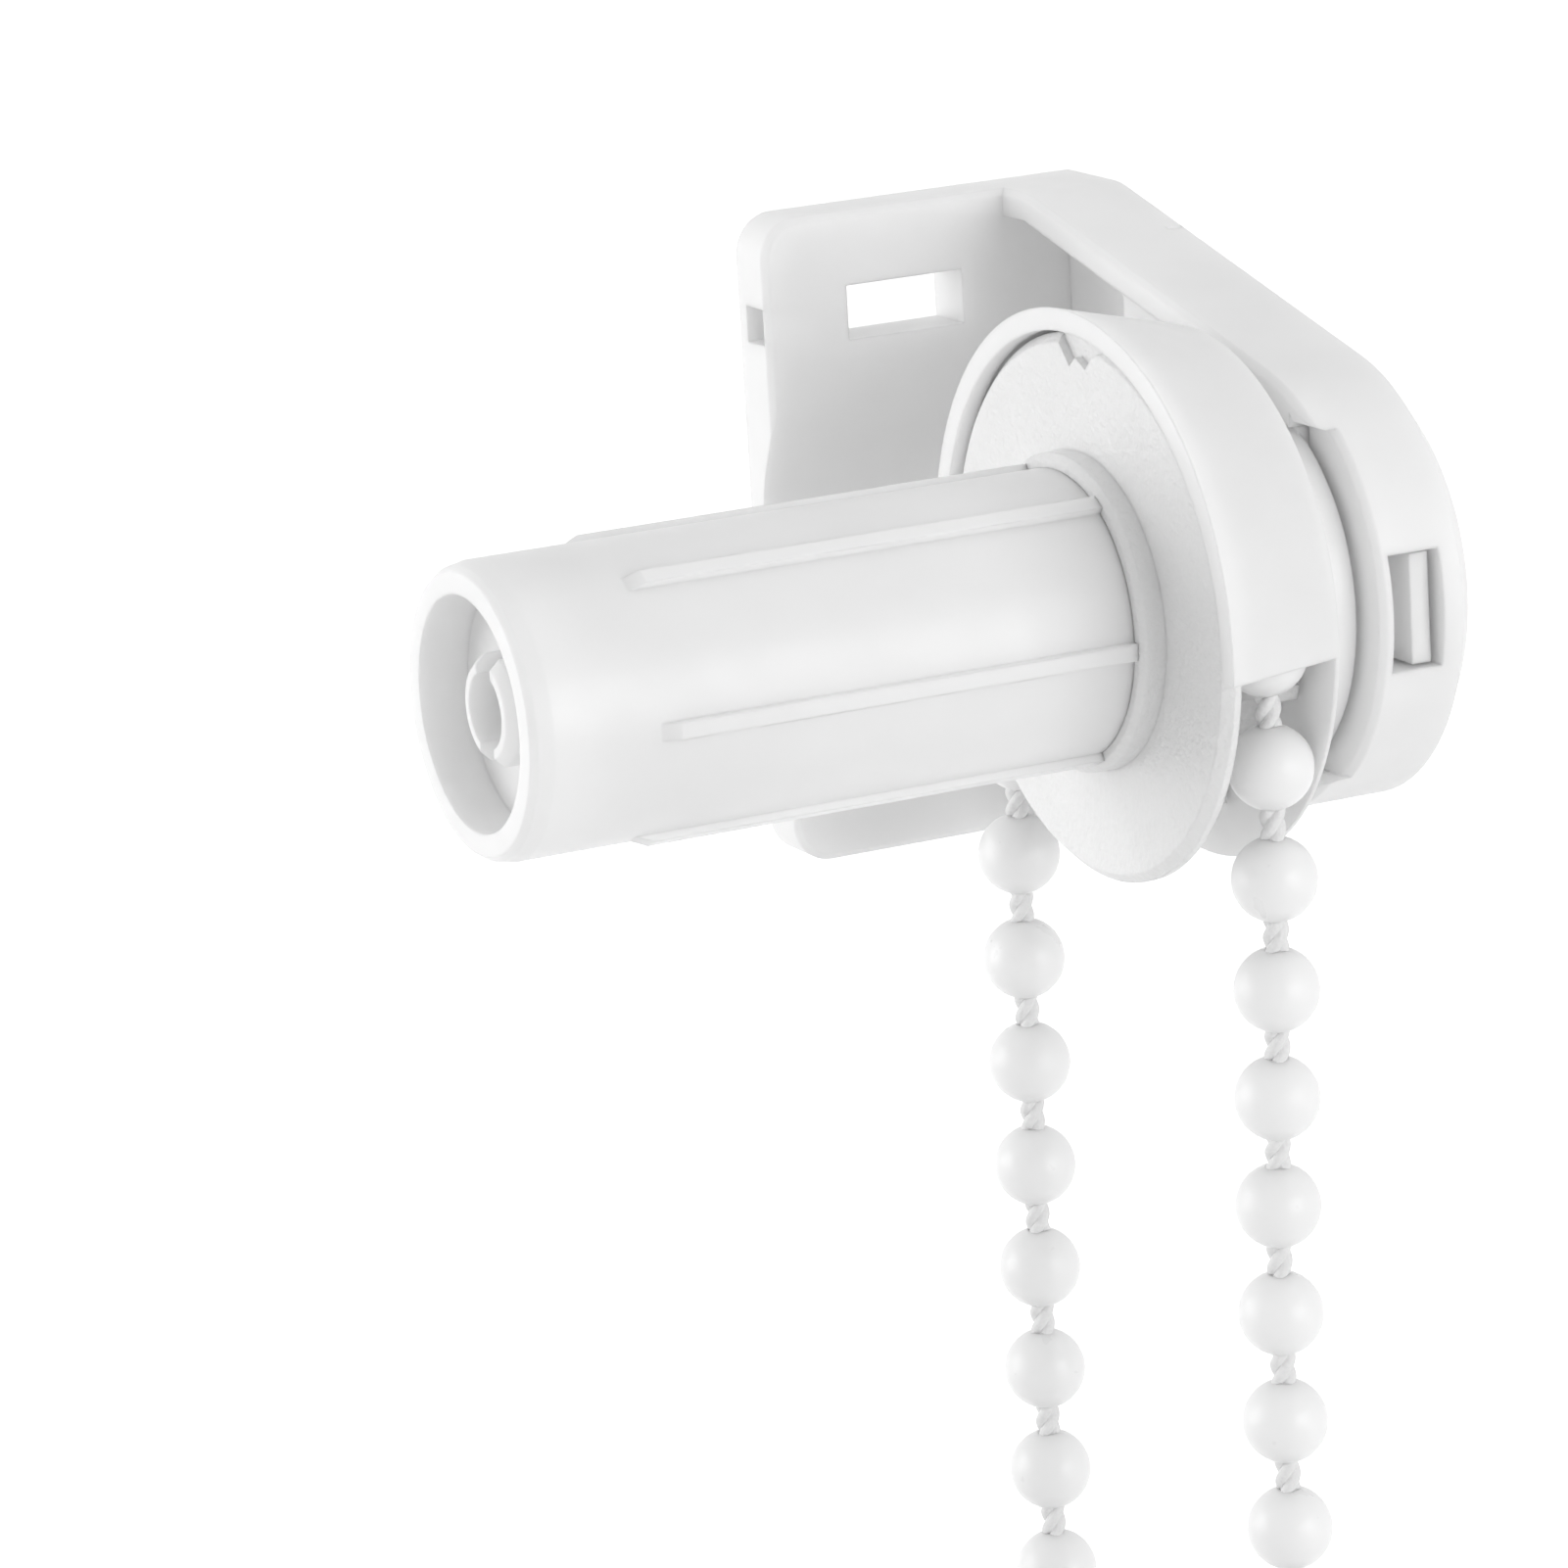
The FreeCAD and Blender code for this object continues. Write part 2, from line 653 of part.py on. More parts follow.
def plug_outline():
    inset = "rim_wall + plug_clearance"
    start = "axis_reach - plug_start"
    across, up = slope_point(inset)
    end = "nose_block_start - plug_clearance"
    end_up = f"sqrt(pow(nose_radius - ({inset}); 2) - pow({end}; 2))"
    return mirrored_outline(
        [
            (start, slope_height(start, inset)),
            (across, up),
            (f"-({end})", end_up),
        ]
    )


def add_plug(body):
    outline = sketch_on(body, "YZ_Plane", "plug_outline", "plug_x")
    polygon(outline, plug_outline())
    pad(body, outline, "plug", "floor_x - plug_x")
    nose = sketch_on(body, "YZ_Plane", "plug_nose_outline", "plug_x")
    circle(nose, "0", "0", "nose_inner_radius - plug_clearance")
    pad(body, nose, "plug_nose", "floor_x - plug_x")


def add_tongues(body):
    tongues = sketch_on(body, "YZ_Plane", "tongue_outline", "floor_x")
    for side in ("", "-"):
        rectangle(
            tongues,
            "axis_reach - slit_start - slit_length + tongue_clearance",
            "axis_reach - plug_start - tongue_clearance",
            f"{side}slit_spacing / 2 - slit_width / 2 + tongue_clearance",
            f"{side}slit_spacing / 2 + slit_width / 2 - tongue_clearance",
        )
    pad(body, tongues, "tongues", "floor_thickness + dome_height - tongue_recess")


def add_latch(body):
    latch = sketch_on(body, "YZ_Plane", "latch_outline", "floor_x + latch_back")
    rectangle(
        latch,
        "-nose_radius + latch_tip",
        "-nose_inner_radius + 2 * latch_clearance",
        "-window_width / 2 + latch_clearance",
        "window_width / 2 - latch_clearance",
    )
    pad(body, latch, "latch", "latch_thickness", reverse=True)


def cut_core_seat(body):
    bore = sketch_on(body, "YZ_Plane", "core_bore_outline", "back_plate_front")
    circle(bore, "0", "0", "core_radius + core_fit")
    pocket(body, bore, "core_bore", "floor_x - back_plate_front")
    seat = sketch_on(body, "YZ_Plane", "foot_seat_outline", "foot_x")
    half = "foot_side / 2 + foot_clearance"
    rectangle(seat, f"-({half})", half, f"-({half})", half)
    pocket(body, seat, "foot_seat", "foot_thickness")


def make_chain_guard():
    body = new_body("chain_guard")
    add_back_plate(body)
    add_hood(body)
    add_plug(body)
    add_tongues(body)
    add_latch(body)
    cut_core_seat(body)
    return body


# Core shaft


def make_core_shaft():
    body = new_body("core_shaft")
    tip = "mouth_x + snap_recess"
    barb = "wall_front_x - end_play / 2"
    section = sketch_on(body, "XZ_Plane", "core_section")
    polygon(
        section,
        [
            ("foot_x + foot_thickness / 2", "0"),
            ("foot_x + foot_thickness / 2", "core_radius"),
            ("wall_rear_x + end_play", "core_radius"),
            ("wall_rear_x + end_play", "snap_neck_radius"),
            (barb, "snap_neck_radius"),
            (barb, "snap_radius"),
            (f"{barb} - snap_straight", "snap_radius"),
            (tip, "snap_tip_radius"),
            (tip, "0"),
        ],
    )
    revolve(body, section, "core")
    foot = sketch_on(body, "YZ_Plane", "foot_outline", "foot_x")
    rectangle(foot, "-foot_side / 2", "foot_side / 2", "-foot_side / 2", "foot_side / 2")
    pad(body, foot, "foot", "foot_thickness - foot_clearance")
    bore = sketch_on(body, "YZ_Plane", "snap_bore_outline", tip)
    circle(bore, "0", "0", "snap_bore_radius")
    pocket(body, bore, "snap_bore", "snap_slot_depth")
    slot = sketch_on(body, "YZ_Plane", "snap_slot_outline", tip, turn="snap_turn")
    rectangle(slot, "-snap_slot / 2", "snap_slot / 2", "-2 * snap_radius", "2 * snap_radius")
    pocket(body, slot, "snap_slot", "snap_slot_depth")
    return body


# Chain wheel


def add_wheel_blank(body):
    rear = "back_plate_front - hub_clearance"
    bore = "core_radius + core_fit"
    section = sketch_on(body, "XZ_Plane", "wheel_section")
    polygon(
        section,
        [
            (rear, bore),
            (rear, "hub_radius"),
            ("disc_x + disc_thickness", "hub_radius"),
            ("disc_x + disc_thickness", "disc_radius"),
            ("disc_x + disc_bevel", "disc_radius"),
            ("disc_x", "disc_radius - disc_bevel"),
            ("disc_x", "collar_radius"),
            ("collar_x + collar_bevel", "collar_radius"),
            ("collar_x", "collar_radius - collar_bevel"),
            ("collar_x", "sleeve_radius - slide_fit"),
            ("collar_x - sleeve_length", "sleeve_radius - slide_fit"),
            ("collar_x - sleeve_length", bore),
        ],
    )
    revolve(body, section, "wheel")


def add_finger(body):
    section = sketch_on(body, "XZ_Plane", "finger_section")
    rectangle(
        section,
        "wall_rear_x + finger_gap",
        "collar_x - sleeve_length / 2",
        "chamber_radius + slide_fit",
        "sleeve_radius - slide_fit",
    )
    revolve(body, section, "finger", "finger_angle")


def cut_pockets(body):
    """Bead seats across the hub, and the groove that lets the cord lie between the teeth."""
    groove = sketch_on(body, "XZ_Plane", "cord_groove_section")
    rectangle(
        groove,
        "chain_plane - cord_groove_width / 2",
        "chain_plane + cord_groove_width / 2",
        "pitch_radius - cord_diameter / 2 - cord_groove_depth",
        "hub_radius + cut_margin",
    )
    revolve(body, groove, "cord_groove", cut=True)
    seat = sketch_on(body, "YZ_Plane", "bead_seat_outline", "disc_x + disc_thickness")
    circle(seat, "0", "pitch_radius", "bead_diameter / 2 + pocket_clearance")
    first = pocket(body, seat, "bead_seat", "back_plate_front - disc_x")
    polar(body, first, "bead_seats", "pocket_count")


def cut_notch(body):
    """Shallow ragged notch with two points in the edge of the disc's face."""
    shares = [
        (0.5, -0.5),
        (0.48, 0),
        (0.22, 1),
        (0.09, 0.53),
        (-0.14, 0.9),
        (-0.3, 0.25),
        (-0.5, -0.1),
        (-0.5, -0.5),
    ]
    edge = "disc_radius - disc_bevel"
    outline = sketch_on(body, "YZ_Plane", "notch_outline", "disc_x")
    corners = [
        (f"notch_shift + notch_width * ({across})", f"{edge} - notch_depth * ({deep})")
        for across, deep in shares
    ]
    polygon(outline, corners)
    pocket(body, outline, "notch", "notch_cut")


def make_chain_wheel():
    body = new_body("chain_wheel", turn="wheel_phase")
    add_wheel_blank(body)
    add_finger(body)
    cut_pockets(body)
    cut_notch(body)
    return body


# Drive spigot


def add_spigot_tube(body):
    section = sketch_on(body, "XZ_Plane", "spigot_section")
    polygon(
        section,
        [
            ("collar_x", "sleeve_radius"),
            ("collar_x", "spigot_radius"),
            ("mouth_x + spigot_end_round", "spigot_radius"),
            ("mouth_x + spigot_end_bend", "spigot_radius - spigot_end_break"),
            ("mouth_x", "spigot_radius - spigot_end_drop"),
            ("mouth_x", "mouth_radius"),
            ("wall_front_x", "mouth_radius"),
            ("wall_front_x", "snap_neck_radius + core_fit"),
            ("wall_rear_x", "snap_neck_radius + core_fit"),
            ("wall_rear_x", "chamber_radius"),
            ("collar_x - sleeve_length - slide_fit", "chamber_radius"),
            ("collar_x - sleeve_length - slide_fit", "sleeve_radius"),
        ],
    )
    revolve(body, section, "tube")
    groove = sketch_on(body, "XZ_Plane", "finger_groove_section")
    rectangle(
        groove,
        "wall_rear_x",
        "collar_x - sleeve_length / 2",
        "chamber_radius - cut_margin",
        "sleeve_radius",
    )
    revolve(body, groove, "finger_groove", "groove_angle", cut=True)


def add_ribs(body):
    start = "mouth_x + rib_end"
    section = sketch_on(body, "XZ_Plane", "rib_section", turn="rib_phase", turn_axis=Vector(1, 0, 0))
    polygon(
        section,
        [
            ("collar_x", "spigot_radius - rib_root"),
            ("collar_x", "spigot_radius + rib_height"),
            (f"{start} + rib_ramp", "spigot_radius + rib_height"),
            (start, "spigot_radius"),
            (start, "spigot_radius - rib_root"),
        ],
    )
    rib = pad(body, section, "rib", "rib_width", symmetric=True)
    polar(body, rib, "ribs", "rib_count")


def make_drive_spigot():
    body = new_body("drive_spigot", turn="wheel_phase")
    add_spigot_tube(body)
    add_ribs(body)
    return body


# Brake springs


def add_tang(body, name, start, turn):
    inner = "core_radius + spring_fit"
    outline = sketch_on(body, "YZ_Plane", name + "_outline", start, turn=turn)
    rectangle(
        outline,
        "-wire_side / 2",
        "wire_side / 2",
        f"{inner} + wire_side / 2",
        f"{inner} + wire_side + tang_reach",
    )
    pad(body, outline, name, "wire_side")


def make_spring(label, start):
    """Close-wound turns of square wire as one solid, with both ends bent out beside the wheel's finger."""
    body = new_body(label, turn="wheel_phase")
    first = f"mouth_x + {start}"
    length = "spring_coils * wire_side"
    inner = "core_radius + spring_fit"
    section = sketch_on(body, "XZ_Plane", label + "_section")
    rectangle(section, first, f"{first} + {length}", inner, f"{inner} + wire_side")
    revolve(body, section, label + "_coils")
    add_tang(body, label + "_first_tang", first, "tang_angle")
    add_tang(body, label + "_last_tang", f"{first} + {length} - wire_side", "-tang_angle")
    return body


# Bead chain. Its corner points are distances from the tube axis: along X, into the wall, up.

WHEEL_STEP = 15  # half the turn between two corners round the wheel, in degrees
ARC_SHARE = 0.45  # part of the shorter run that an arc takes at each of its ends
CORD_SIDES = 5
BEAD_SIDES = 7
BEAD_RINGS = (-70, -38, 0, 38, 70)  # heights of a bead's rings of corners, in degrees

FRONT_RUN = [
    (-1.0, -11.46, -15.0),
    (-1.0, -10.0, -33.0),
    (-1.0, -10.1, -50.0),
]
BOTTOM_TURN = [
    (-1.1, -10.0, -65.3),
    (-1.2, -2.6, -72.8),
    (-1.4, 8.0, -72.8),
    (-1.5, 15.4, -65.3),
]
REAR_RUN = [
    (-1.6, 15.5, -48.0),
    (-1.6, 15.3, -30.0),
    (-1.6, 15.45, -14.0),
    (-1.3, 14.6, -8.0),
    (-1.0, 11.9, -3.6),
]


def wheel_point(angle, radius):
    """A point beside the wheel; the angle goes from the front over the top, in degrees."""
    turn = math.radians(angle)
    return Vector(size("chain_plane"), -radius * math.cos(turn), radius * math.sin(turn))


def chain_route():
    """Corners of the cord's route, from the top of the wheel down the front and back up the rear."""
    radius = size("pitch_radius")
    top = 90 - size("wheel_phase")
    gap = size("cord_end_gap") / 2
    corner = radius / math.cos(math.radians(WHEEL_STEP))
    last = (top - 4 * WHEEL_STEP) / 2
    front = [wheel_point(top - k * WHEEL_STEP, corner) for k in (1, 3)]
    front.append(wheel_point(last, radius / math.cos(math.radians(last))))
    rear = [wheel_point(top + k * WHEEL_STEP, corner) for k in (5, 3, 1)]
    start = wheel_point(top, radius)
    along = wheel_point(top - 90, 1) - wheel_point(top - 90, 0)
    hand = [Vector(*p) for p in FRONT_RUN + BOTTOM_TURN + REAR_RUN]
    route = [start + along * gap] + front + hand + rear + [start - along * gap]
    return [p + Vector(0, -size("axis_reach"), 0) for p in route]


def rounded_path(points):
    """Straight runs joined by tangent arcs, each as large as its two runs allow."""
    edges = []
    radii = []
    reached = points[0]
    for before, corner, after in zip(points, points[1:], points[2:]):
        inward = (corner - before).normalize()
        outward = (after - corner).normalize()
        turn = inward.getAngle(outward)
        share = ARC_SHARE * min(before.distanceToPoint(corner), after.distanceToPoint(corner))
        radius = share / math.tan(turn / 2)
        bisector = (outward - inward).normalize()
        middle = corner + bisector * (radius / math.cos(turn / 2) - radius)
        start = corner - inward * share
        end = corner + outward * share
        edges.append(Part.LineSegment(reached, start).toShape())
        edges.append(Part.Arc(start, middle, end).toShape())
        radii.append(radius)
        reached = end
    edges.append(Part.LineSegment(reached, points[-1]).toShape())
    return Part.Wire(edges), radii


def make_chain_cord(path):
    """Plain cord with a few flat sides, swept along the whole path."""
    start = path.Edges[0]
    heading = start.tangentAt(start.FirstParameter)
    radius = size("cord_diameter") / 2
    turns = [2 * math.pi * i / CORD_SIDES for i in range(CORD_SIDES + 1)]
    ring = Part.makePolygon([Vector(radius * math.cos(a), radius * math.sin(a), 0) for a in turns])
    ring.Placement = Placement(start.valueAt(start.FirstParameter), Rotation(Vector(0, 0, 1), heading))
    cord = DOC.addObject("Part::Feature", "chain_cord")
    cord.Label = "chain_cord"
    cord.Shape = path.makePipe(Part.Face(ring))
    section = CORD_SIDES / 2 * radius**2 * math.sin(2 * math.pi / CORD_SIDES)
    print(f"cord volume {cord.Shape.Volume:.2f}, section times length {section * path.Length:.2f}")
    return cord


def bead_places(path):
    """Middle and heading of every bead, evenly spaced round the loop; the first one holds the cord's ends."""
    gap = size("cord_end_gap")
    loop = path.Length + gap
    count = round(loop / size("chain_pitch"))
    first = path.Edges[0]
    heading = first.tangentAt(first.FirstParameter)
    places = [(first.valueAt(first.FirstParameter) - heading * gap / 2, heading)]
    done = gap / 2
    index = 1
    for edge in path.OrderedEdges:
        while index < count and index * loop / count <= done + edge.Length:
            at = edge.getParameterByLength(index * loop / count - done)
            places.append((edge.valueAt(at), edge.tangentAt(at)))
            index += 1
        done += edge.Length
    print(f"chain loop {loop:.2f} with {count} beads, {loop / count:.3f} apart")
    return places


def bead_shape():
    """One bead as rings of flat facets, with a flat at each end where the cord comes out."""
    radius = size("bead_diameter") / 2
    turns = [2 * math.pi * i / BEAD_SIDES for i in range(BEAD_SIDES)]
    rings = []
    for height in BEAD_RINGS:
        tilt = math.radians(height)
        flat = radius * math.cos(tilt)
        rings.append([Vector(flat * math.cos(a), flat * math.sin(a), radius * math.sin(tilt)) for a in turns])
    outlines = [rings[0], rings[-1]]
    for low, high in zip(rings, rings[1:]):
        for i in range(BEAD_SIDES):
            j = (i + 1) % BEAD_SIDES
            outlines.append([low[i], low[j], high[j], high[i]])
    faces = [Part.Face(Part.makePolygon(corners + corners[:1])) for corners in outlines]
    return Part.Solid(Part.Shell(faces))


def make_chain_beads(path):
    """The beads follow the path, which no pattern feature does, so they are copies of one bead."""
    bead = bead_shape()
    copies = []
    for middle, heading in bead_places(path):
        copy = bead.copy()
        copy.Placement = Placement(middle, Rotation(Vector(0, 0, 1), heading))
        copies.append(copy)
    beads = DOC.addObject("Part::Feature", "chain_beads")
    beads.Label = "chain_beads"
    beads.Shape = Part.makeCompound(copies)
    return beads


# Build, check and write


def check(parts):
    DOC.recompute()
    for item in DOC.Objects:
        if {"Invalid", "Error"} & set(item.State):
            raise RuntimeError(f"{item.Name} failed: {item.State}")
    for part in parts:
        if part.Shape.isNull() or not part.Shape.isValid():
            raise RuntimeError(f"{part.Label} has no valid shape")


def write(parts):
    os.makedirs("parts", exist_ok=True)
    for part in parts:
        part.Shape.exportStep(f"parts/{part.Label}.step")
        box = part.Shape.BoundBox
        print(
            f"{part.Label}: {len(part.Shape.Solids)} solids, {part.Shape.Volume:.1f} mm3,"
            f" {box.XLength:.2f} x {box.YLength:.2f} x {box.ZLength:.2f} mm"
        )


DOC = FreeCAD.newDocument("RollerBlindBracket")
make_sheet(DOC)
chain_path, cord_radii = rounded_path(chain_route())
print("cord radii", " ".join(f"{r:.1f}" for r in cord_radii))
PARTS = [
    make_bracket(),
    make_chain_guard(),
    make_core_shaft(),
    make_chain_wheel(),
    make_drive_spigot(),
    make_spring("wrap_spring_front", "spring_front_start"),
    make_spring("wrap_spring_rear", "spring_rear_start"),
    make_chain_cord(chain_path),
    make_chain_beads(chain_path),
]
check(PARTS)
write(PARTS)
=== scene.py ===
import json
import math

import bmesh
import bpy
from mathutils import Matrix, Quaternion, Vector


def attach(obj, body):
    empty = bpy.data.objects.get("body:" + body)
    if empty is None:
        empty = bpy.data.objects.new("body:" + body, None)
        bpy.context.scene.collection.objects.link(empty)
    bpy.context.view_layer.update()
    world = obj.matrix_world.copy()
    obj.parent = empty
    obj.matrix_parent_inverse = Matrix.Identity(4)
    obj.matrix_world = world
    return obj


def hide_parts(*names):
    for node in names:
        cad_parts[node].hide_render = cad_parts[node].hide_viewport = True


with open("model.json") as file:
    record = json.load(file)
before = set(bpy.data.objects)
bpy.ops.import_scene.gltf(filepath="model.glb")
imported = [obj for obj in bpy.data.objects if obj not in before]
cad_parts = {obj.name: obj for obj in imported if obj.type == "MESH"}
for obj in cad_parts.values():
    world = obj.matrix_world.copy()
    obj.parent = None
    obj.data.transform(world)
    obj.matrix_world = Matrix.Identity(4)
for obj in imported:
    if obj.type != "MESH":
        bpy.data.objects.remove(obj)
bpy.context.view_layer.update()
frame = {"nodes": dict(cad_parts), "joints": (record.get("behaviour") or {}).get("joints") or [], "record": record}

# Roller blind bracket with its chain clutch, in metres. Sizes below are written in millimetres.
MM = 0.001
NODES = frame["nodes"]
TUBE_AXIS = Vector(frame["joints"][0]["pos_m"])
COLOURS = {row["slot"]: row["base_color"] for row in frame["record"]["materials"]}

# Camera: its place, its angles and field of view in degrees, and the nearest distance that it sees.
CAMERA_PLACE = (-172.10, -336.47, 78.73)
CAMERA_AZIMUTH = -25.80
CAMERA_ELEVATION = 13.95
CAMERA_ROLL = -3.47
FIELD_OF_VIEW = 12.92
NEAREST_SEEN = 10.0

# Square softboxes that all face one point: name, place, side and power in watts.
LIGHT_TARGET = (-5, -25, 0)
SOFTBOXES = [
    ("left_softbox", (-478, 247, 54), 400, 1.45),
    ("back_softbox", (-272, 442, 107), 400, 0.15),
    ("front_softbox", (188, -538, 28), 400, 1.4),
    ("top_softbox", (160, -60, 520), 500, 0.45),
]

# Even light from all around, and how many times light is passed on between white surfaces.
AMBIENT = 0.57
LIGHT_BOUNCES = 16

# Floor: height, half its width, grey, roughness and the light that it gives off where it is seen.
FLOOR_LEVEL = -78.0
FLOOR_HALF = 4000.0
FLOOR_GREY = 0.86
FLOOR_ROUGHNESS = 0.9
FLOOR_LIFT = 0.6

# Most values of a noise texture lie between these two.
NOISE_LOW = 0.3
NOISE_HIGH = 0.7

# A wave texture of scale 1 repeats after this length.
BAND_PERIOD = math.pi / 10

# Plastic: spots of duller white and of uneven gloss, sink waves, and how far light goes under the surface.
CLOUD_SIZE = 7.0
CLOUD_WHITENESS = 0.965
GLOSS_SIZE = 1.6
GLOSS_SWING = 0.06
SINK_WAVE_SIZE = 4.0
PLASTIC_IOR = 1.49
GLOW_REACH = 1.4
EDGE_SAMPLES = 4

# Spring steel: grooves along the spring, spots of its drawn surface and range of its roughness.
GROOVE_STEP = 1.58
GROOVE_DEPTH = 0.15
DRAWN_SIZE = 0.3
STEEL_ROUGHNESS = (0.25, 0.45)

# Cord fibre: spots of duller white, which are also hollows, range of its roughness, and sheen.
FIBRE_SIZE = 0.18
FIBRE_DEPTH = 0.05
FIBRE_WHITENESS = 0.93
FIBRE_ROUGHNESS = (0.6, 0.8)
FIBRE_SHEEN = 0.2

# The chain's route: corners as distances from the tube axis in mm, along X, into the wall, up.
CHAIN_ROUTE = [
    (-1.0, -1.08, 11.42),
    (-1.0, -3.65, 11.29),
    (-1.0, -8.80, 7.95),
    (-1.0, -11.46, 2.76),
    (-1.0, -11.46, -15.0),
    (-1.0, -10.0, -33.0),
    (-1.0, -10.1, -50.0),
    (-1.1, -10.0, -65.3),
    (-1.2, -2.6, -72.8),
    (-1.4, 8.0, -72.8),
    (-1.5, 15.4, -65.3),
    (-1.6, 15.5, -48.0),
    (-1.6, 15.3, -30.0),
    (-1.6, 15.45, -14.0),
    (-1.3, 14.6, -8.0),
    (-1.0, 11.9, -3.6),
    (-1.0, 11.29, 3.65),
    (-1.0, 7.95, 8.80),
    (-1.0, 2.49, 11.60),
    (-1.0, -0.08, 11.47),
]
ROUTE_ORDER = 3
ROUTE_STEPS = 32

# Cord of twisted strands.
CORD_DIAMETER = 1.4
STRANDS = 3
STRAND_RADIUS = 0.39
STRAND_TURN_LENGTH = 3.2
STRAND_STEP = 0.2
STRAND_SIDES = 8

# Beads: balls with a mouth at each end that grips the cord and has a thin lip.
BEAD_COUNT = 33
BEAD_DIAMETER = 4.5
BEAD_SIDES = 28
BEAD_RINGS = 20
MOUTH_SHARE_OF_CORD = 0.75
MOUTH_DEPTH = 0.2
MOUTH_EDGE = 0.1
LIP_WIDTH = 0.03
LIP_HEIGHT = 0.06


# Camera, lights, floor


def make_camera():
    data = bpy.data.cameras.new("camera")
    data.angle = math.radians(FIELD_OF_VIEW)
    data.clip_start = NEAREST_SEEN * MM
    azimuth = math.radians(CAMERA_AZIMUTH)
    elevation = math.radians(CAMERA_ELEVATION)
    level = math.cos(elevation)
    look = Vector((-math.sin(azimuth) * level, math.cos(azimuth) * level, -math.sin(elevation)))
    roll = Quaternion((0, 0, 1), math.radians(CAMERA_ROLL))
    camera = bpy.data.objects.new("camera", data)
    camera.location = Vector(CAMERA_PLACE) * MM
    camera.rotation_mode = "QUATERNION"
    camera.rotation_quaternion = look.to_track_quat("-Z", "Y") @ roll
    bpy.context.scene.collection.objects.link(camera)
    bpy.context.scene.camera = camera


def make_softbox(name, place, side, power):
    data = bpy.data.lights.new(name, "AREA")
    data.shape = "SQUARE"
    data.size = side * MM
    data.energy = power
    light = bpy.data.objects.new(name, data)
    light.location = Vector(place) * MM
    aim = (Vector(LIGHT_TARGET) - Vector(place)).to_track_quat("-Z", "Y")
    light.rotation_euler = aim.to_euler()
    bpy.context.scene.collection.objects.link(light)


def seen_directly(tree):
    """1 for camera, mirror and glass rays, 0 for the light that falls on surfaces."""
    path = tree.nodes.new("ShaderNodeLightPath")
    seen = path.outputs["Is Camera Ray"]
    for kind in ("Is Glossy Ray", "Is Transmission Ray"):
        either = tree.nodes.new("ShaderNodeMath")
        either.operation = "MAXIMUM"
        tree.links.new(seen, either.inputs[0])
        tree.links.new(path.outputs[kind], either.inputs[1])
        seen = either.outputs[0]
    return seen


def make_world():
    """White behind everything, and an even soft light on the object."""
    world = bpy.data.worlds.new("studio")
    world.use_nodes = True
    tree = world.node_tree
    strength = tree.nodes.new("ShaderNodeMapRange")
    strength.inputs["To Min"].default_value = AMBIENT
    strength.inputs["To Max"].default_value = 1.0
    tree.links.new(seen_directly(tree), strength.inputs["Value"])
    background = tree.nodes["Background"]
    background.inputs["Color"].default_value = (1, 1, 1, 1)
    tree.links.new(strength.outputs["Result"], background.inputs["Strength"])
    bpy.context.scene.world = world


def floor_white():
    """Matt white that gives off a little light where it is seen, so that it fades into the background."""
    material = bpy.data.materials.new("floor_white")
    material.use_nodes = True
    tree = material.node_tree
    shader = tree.nodes["Principled BSDF"]
    shader.inputs["Base Color"].default_value = (FLOOR_GREY, FLOOR_GREY, FLOOR_GREY, 1)
    shader.inputs["Roughness"].default_value = FLOOR_ROUGHNESS
    shader.inputs["Emission Color"].default_value = (1, 1, 1, 1)
    lift = tree.nodes.new("ShaderNodeMath")
    lift.operation = "MULTIPLY"
    lift.inputs[1].default_value = FLOOR_LIFT
    tree.links.new(seen_directly(tree), lift.inputs[0])
    tree.links.new(lift.outputs[0], shader.inputs["Emission Strength"])
    return material


def make_floor():
    mesh = bpy.data.meshes.new("floor")
    reach, level = FLOOR_HALF * MM, FLOOR_LEVEL * MM
    corners = [(-reach, -reach), (reach, -reach), (reach, reach), (-reach, reach)]
    mesh.from_pydata([(x, y, level) for x, y in corners], [], [(0, 1, 2, 3)])
    mesh.materials.append(floor_white())
    floor = bpy.data.objects.new("floor", mesh)
    bpy.context.scene.collection.objects.link(floor)


# Materials


